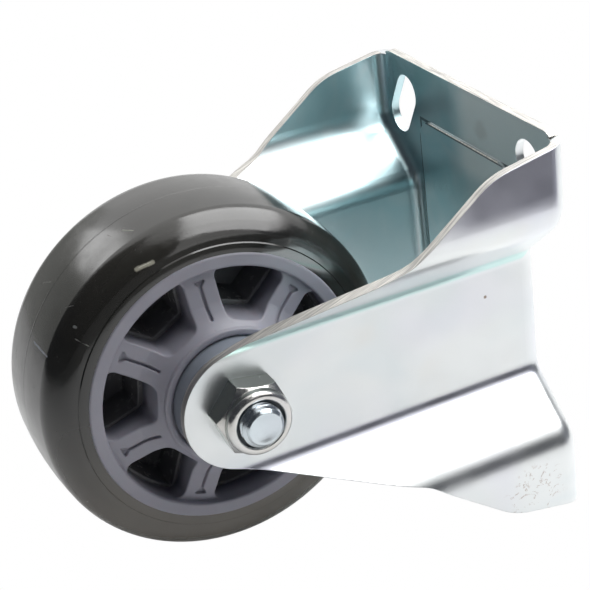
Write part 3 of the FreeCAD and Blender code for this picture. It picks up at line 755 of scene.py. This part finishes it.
def bolt_rings():
    """Rings of (radius, station) down the bolt: end face, thread, shank, hexagon head."""
    turns = [math.radians(HEAD_TURN + i * 360.0 / BOLT_SIDES) for i in range(BOLT_SIDES)]
    dish_r, dish_depth = END_DISH
    plain = [(dish_r, BOLT_END + dish_depth), (END_DISH_RIM_R, BOLT_END),
             (BOLT_R - BOLT_CHAMFER, BOLT_END)]
    rings = [[ring] * BOLT_SIDES for ring in plain]
    rows = round((THREAD_STOP - BOLT_END) / THREAD_STEP)
    for i in range(1, rows + 1):
        station = BOLT_END + (THREAD_STOP - BOLT_END) * i / rows
        rings.append([(thread_radius(station, turn), station) for turn in turns])
    rings.append([(BOLT_R, HEAD_FOOT)] * BOLT_SIDES)
    flats = [hexagon_radius(turn) for turn in turns]
    rings.append([(flat, HEAD_FOOT) for flat in flats])
    rings.append([(flat, HEAD_TOP - (flat - HEAD_TIP_R) * HEAD_BEVEL) for flat in flats])
    dish_r, dish_depth = HEAD_DISH
    crown = [(HEAD_TIP_R, HEAD_TOP), (HEAD_DISH_RIM_R, HEAD_TOP), (dish_r, HEAD_TOP - dish_depth)]
    rings.extend([ring] * BOLT_SIDES for ring in crown)
    return turns, rings


def threaded_bolt():
    """Axle bolt with a rolled thread and a bevelled hexagon head."""
    turns, rings = bolt_rings()
    shape = bmesh.new()
    rows = []
    for ring in rings:
        rows.append([shape.verts.new(Vector((r * math.cos(turn), y, r * math.sin(turn))) * MM + AXLE)
                     for turn, (r, y) in zip(turns, ring)])
    for low, high in zip(rows, rows[1:]):
        for i in range(BOLT_SIDES):
            j = (i + 1) % BOLT_SIDES
            shape.faces.new((low[i], low[j], high[j], high[i]))
    shape.faces.new(rows[0])
    shape.faces.new(rows[-1])
    bmesh.ops.recalc_face_normals(shape, faces=shape.faces)
    mesh = bpy.data.meshes.new("axle_bolt_threaded")
    shape.to_mesh(mesh)
    shape.free()
    mesh.shade_smooth()
    mesh.set_sharp_from_angle(angle=SHARP_ANGLE)
    bolt = bpy.data.objects.new("axle_bolt_threaded", mesh)
    bpy.context.scene.collection.objects.link(bolt)
    return bolt


class CASTOR_OT_axle(Operator):
    """Build the threaded axle bolt and finish the lock nut, locking insert, spacer and bushes"""

    bl_idname = "castor.axle"
    bl_label = "Axle finish"

    def plated(self, name, main, metal, roughness, shaded_flats=False):
        """Turned steel with zinc plating and rounded edges; on request the hexagon's flats get painted
        dark reflection.
        """
        recipe = Recipe(name)
        tone = plated_base(recipe, main, metal.zinc_blue, metal.zinc_warm)
        if shaded_flats:
            _, ny, _ = recipe.split(recipe.surface_normal())
            # Painted reflection: the hexagon's flats darkened, standing in for the dark room they
            # mirror.
            flats = recipe.band(recipe.sums("ABSOLUTE", ny), 0.05, 0.15, 0.75, 0.0)
            tone = recipe.blend(flats, tone, FLATS_SHADE_TONE)
        pits = recipe.band(recipe.cells(0.8 * MM), 0.06, 0.16, 1.0, 0.0)
        tone = recipe.blend(recipe.times(pits, 0.35 * metal.wear), tone, PIT_TONE)
        rough = recipe.band(recipe.noise(1.5 * MM, 3.0), 0.25, 0.8, roughness - 0.05, roughness + 0.10)
        skin = recipe.bump(recipe.noise(0.9 * MM, 2.0), 0.012 * MM, recipe.softened(0.4 * MM))
        recipe.look(Base_Color=tone, Metallic=1.0, Roughness=rough, Normal=skin)
        return recipe.material

    def nylon(self, colour):
        """Dull translucent nylon of the locking ring."""
        recipe = Recipe("insert_nylon")
        scuff = recipe.band(recipe.noise(0.9 * MM, 3.0), 0.35, 0.75)
        tone = recipe.blend(recipe.times(scuff, 0.5), colour, INSERT_FLOW)
        relief = recipe.bump(recipe.noise(0.4 * MM, 2.0), 0.03 * MM)
        recipe.look(Base_Color=tone, Roughness=0.4, Normal=relief, IOR=1.53)
        return recipe.material

    def execute(self, context):
        metal = context.scene.castor_metal
        moulded = context.scene.castor_mouldings
        bolt = threaded_bolt()
        bolt.data.materials.append(self.plated("zinc_bolt", BOLT_TONE, metal, 0.18))
        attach(bolt, "fork")
        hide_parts("axle_bolt")
        bush = self.plated("zinc_bush", BUSH_TONE, metal, 0.24)
        for name in ("spacer_tube", "side_bush_near", "side_bush_far"):
            finish_node(name, bush)
        finish_node("lock_nut", self.plated("zinc_nut", metal.nut, metal, 0.18, shaded_flats=True))
        finish_node("nut_insert", self.nylon(moulded.insert))
        return {"FINISHED"}


class CASTOR_OT_bearings(Operator):
    """Finish the races, balls, cages and shields of both bearings"""

    bl_idname = "castor.bearings"
    bl_label = "Bearing finish"

    def execute(self, context):
        metal = context.scene.castor_metal
        recipe = Recipe("bearing_steel")
        turning = recipe.noise(0.3 * MM, 1.0, vector=recipe.moved(scale=(0.04, 1, 0.04)))
        oil = recipe.band(recipe.noise(3 * MM, 3.0), 0.4, 0.8)
        tone = recipe.blend(recipe.times(oil, 0.4), metal.bearing, OIL_TONE)
        rough = recipe.band(oil, 0.0, 1.0, 0.12, 0.28)
        relief = recipe.bump(turning, 0.008 * MM)
        recipe.look(Base_Color=tone, Metallic=1.0, Roughness=rough, Normal=relief)
        for name in NODES:
            if name.startswith(("ball_", "outer_race", "inner_race", "shield")):
                finish_node(name, recipe.material)
        return {"FINISHED"}


class CASTOR_OT_stage(Operator):
    """Set the camera at the photograph's angle, the soft lights, the floor and the white background"""

    bl_idname = "castor.stage"
    bl_label = "Stage"

    def camera(self, scene):
        """Camera at the photograph's place, turned and rolled as it was."""
        data = bpy.data.cameras.new("view_camera")
        data.lens = CAMERA_LENS_MM
        data.sensor_width = 36.0
        data.clip_start = 0.01
        data.clip_end = 20.0
        camera = bpy.data.objects.new("view_camera", data)
        turn = Matrix((CAMERA_RIGHT, CAMERA_UP, CAMERA_BACK)).transposed()
        camera.matrix_world = Matrix.Translation(CAMERA_PLACE) @ turn.to_4x4()
        scene.collection.objects.link(camera)
        scene.camera = camera

    def toward(self, turn, rise):
        """Direction by degrees round the table from the camera's side, and degrees above it."""
        turn, rise = math.radians(turn), math.radians(rise)
        level = TABLE_FRONT * math.cos(turn) + TABLE_RIGHT * math.sin(turn)
        return level * math.cos(rise) + TABLE_UP * math.sin(rise)

    def soft_box(self, scene, name, turn, rise, away, width, height, power):
        """Rectangular area light aimed at the castor."""
        data = bpy.data.lights.new(name, "AREA")
        data.shape = "RECTANGLE"
        data.size = width
        data.size_y = height
        data.energy = power
        lamp = bpy.data.objects.new(name, data)
        back = self.toward(turn, rise)
        across = TABLE_UP.cross(back).normalized()
        spin = Matrix((across, back.cross(across), back)).transposed()
        lamp.matrix_world = Matrix.Translation(STAGE_CENTRE + back * away) @ spin.to_4x4()
        scene.collection.objects.link(lamp)

    def room_wall(self, scene, name, turns, rises, glow, tint):
        """Patch of the dark room round the camera, out of the camera's own sight."""
        shape = bmesh.new()
        rows = []
        for i in range(ROOM_STEPS + 1):
            rise = rises[0] + (rises[1] - rises[0]) * i / ROOM_STEPS
            row = []
            for j in range(ROOM_STEPS + 1):
                turn = turns[0] + (turns[1] - turns[0]) * j / ROOM_STEPS
                place = STAGE_CENTRE + self.toward(turn, rise) * ROOM_REACH
                row.append(shape.verts.new(place))
            rows.append(row)
        for low, high in zip(rows, rows[1:]):
            for j in range(ROOM_STEPS):
                shape.faces.new((low[j], low[j + 1], high[j + 1], high[j]))
        mesh = bpy.data.meshes.new(name)
        shape.to_mesh(mesh)
        shape.free()
        material = bpy.data.materials.new(name)
        material.use_nodes = True
        tree = material.node_tree
        light = tree.nodes.new("ShaderNodeEmission")
        light.inputs["Color"].default_value = (*tint, 1.0)
        light.inputs["Strength"].default_value = glow
        tree.links.new(light.outputs[0], tree.nodes["Material Output"].inputs["Surface"])
        mesh.materials.append(material)
        wall = bpy.data.objects.new(name, mesh)
        scene.collection.objects.link(wall)
        wall.visible_camera = False

    def disc(self, name, radius):
        """Flat round mesh."""
        mesh = bpy.data.meshes.new(name)
        shape = bmesh.new()
        bmesh.ops.create_circle(shape, cap_ends=True, segments=DISC_SIDES, radius=radius)
        shape.to_mesh(mesh)
        shape.free()
        return mesh

    def table(self, scene, gap):
        """White table that the castor lies on, left out of the camera's sight."""
        mesh = self.disc("table", TABLE_R)
        material = bpy.data.materials.new("white_table")
        material.use_nodes = True
        paint = material.node_tree.nodes["Principled BSDF"]
        paint.inputs["Base Color"].default_value = (0.94, 0.94, 0.94, 1)
        paint.inputs["Roughness"].default_value = 0.7
        mesh.materials.append(material)
        table = bpy.data.objects.new("table", mesh)
        table.location = TABLE_TOUCH - TABLE_UP * gap
        table.rotation_euler = TABLE_UP.to_track_quat("Z", "Y").to_euler()
        scene.collection.objects.link(table)
        table.visible_camera = False

    def plain_sight(self, tree):
        """Share of light paths that see the background: camera, glossy and transmission rays."""
        path = tree.nodes.new("ShaderNodeLightPath")
        total = path.outputs["Is Camera Ray"]
        for name in ("Is Glossy Ray", "Is Transmission Ray"):
            node = tree.nodes.new("ShaderNodeMath")
            node.operation = "MAXIMUM"
            tree.links.new(total, node.inputs[0])
            tree.links.new(path.outputs[name], node.inputs[1])
            total = node.outputs[0]
        return total

    def world(self, scene, strength):
        """White to the eye and in reflections, softer as a light."""
        world = bpy.data.worlds.new("white_room")
        world.use_nodes = True
        tree = world.node_tree
        seen = tree.nodes.new("ShaderNodeBackground")
        seen.inputs["Strength"].default_value = 1.0
        seen.inputs["Color"].default_value = (1, 1, 1, 1)
        light = tree.nodes["Background"]
        light.inputs["Color"].default_value = (1, 1, 1, 1)
        light.inputs["Strength"].default_value = strength
        mix = tree.nodes.new("ShaderNodeMixShader")
        tree.links.new(self.plain_sight(tree), mix.inputs[0])
        tree.links.new(light.outputs[0], mix.inputs[1])
        tree.links.new(seen.outputs[0], mix.inputs[2])
        tree.links.new(mix.outputs[0], tree.nodes["World Output"].inputs["Surface"])
        scene.world = world

    def floor(self, scene, drop):
        """Wide pale floor well below the castor, clear of the low camera."""
        mesh = self.disc("floor", FLOOR_R)
        floor = bpy.data.objects.new("floor", mesh)
        floor.location = (0, 0, -drop)
        scene.collection.objects.link(floor)
        material = bpy.data.materials.new("pale_floor")
        material.use_nodes = True
        tree = material.node_tree
        paint = tree.nodes["Principled BSDF"]
        paint.inputs["Base Color"].default_value = (0.9, 0.9, 0.9, 1)
        paint.inputs["Roughness"].default_value = 0.8
        glow = tree.nodes.new("ShaderNodeEmission")
        glow.inputs["Strength"].default_value = 1.0
        share = tree.nodes.new("ShaderNodeMath")
        share.operation = "MULTIPLY"
        share.inputs[1].default_value = FLOOR_GLOW
        tree.links.new(self.plain_sight(tree), share.inputs[0])
        mix = tree.nodes.new("ShaderNodeMixShader")
        tree.links.new(share.outputs[0], mix.inputs[0])
        tree.links.new(paint.outputs[0], mix.inputs[1])
        tree.links.new(glow.outputs[0], mix.inputs[2])
        tree.links.new(mix.outputs[0], tree.nodes["Material Output"].inputs["Surface"])
        mesh.materials.append(material)

    def execute(self, context):
        scene = context.scene
        stage = scene.castor_stage
        scene.view_settings.view_transform = "Standard"
        self.camera(scene)
        self.world(scene, stage.world)
        self.floor(scene, stage.floor_drop)
        self.table(scene, stage.table_gap)
        self.soft_box(scene, "top_box", *TOP_BOX, stage.top_box)
        self.soft_box(scene, "left_box", *LEFT_BOX, stage.left_box)
        for name, (turns, rises, glow, tint) in ROOM_WALLS.items():
            self.room_wall(scene, name, turns, rises, stage.room * glow, tint)
        return {"FINISHED"}


class CASTOR_PT_workshop(Panel):
    """Castor steps in the 3D view's sidebar"""

    bl_label = "Fixed Castor"
    bl_idname = "CASTOR_PT_workshop"
    bl_space_type = "VIEW_3D"
    bl_region_type = "UI"
    bl_category = "Castor"

    def draw(self, context):
        for step in STEPS:
            self.layout.operator(step.bl_idname)
        for group in ("castor_metal", "castor_mouldings", "castor_stage"):
            box = self.layout.box()
            settings = getattr(context.scene, group)
            for name in settings.__annotations__:
                box.prop(settings, name)


GROUPS = {"castor_metal": CastorMetal, "castor_mouldings": CastorMouldings, "castor_stage": CastorStage}
STEPS = (CASTOR_OT_bracket, CASTOR_OT_tyre, CASTOR_OT_core, CASTOR_OT_guards, CASTOR_OT_axle,
         CASTOR_OT_bearings, CASTOR_OT_stage)


def register():
    """Register the settings, the steps and the panel."""
    for name, group in GROUPS.items():
        bpy.utils.register_class(group)
        setattr(bpy.types.Scene, name, PointerProperty(type=group))
    for step in STEPS:
        bpy.utils.register_class(step)
    bpy.utils.register_class(CASTOR_PT_workshop)


def unregister():
    """Remove the panel, the steps and the settings."""
    bpy.utils.unregister_class(CASTOR_PT_workshop)
    for step in reversed(STEPS):
        bpy.utils.unregister_class(step)
    for name, group in GROUPS.items():
        delattr(bpy.types.Scene, name)
        bpy.utils.unregister_class(group)


def main():
    """Run every step in order."""
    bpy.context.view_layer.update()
    register()
    bpy.ops.castor.bracket()
    bpy.ops.castor.tyre()
    bpy.ops.castor.core()
    bpy.ops.castor.guards()
    bpy.ops.castor.axle()
    bpy.ops.castor.bearings()
    bpy.ops.castor.stage()
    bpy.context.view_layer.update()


if __name__ == "__main__":
    main()
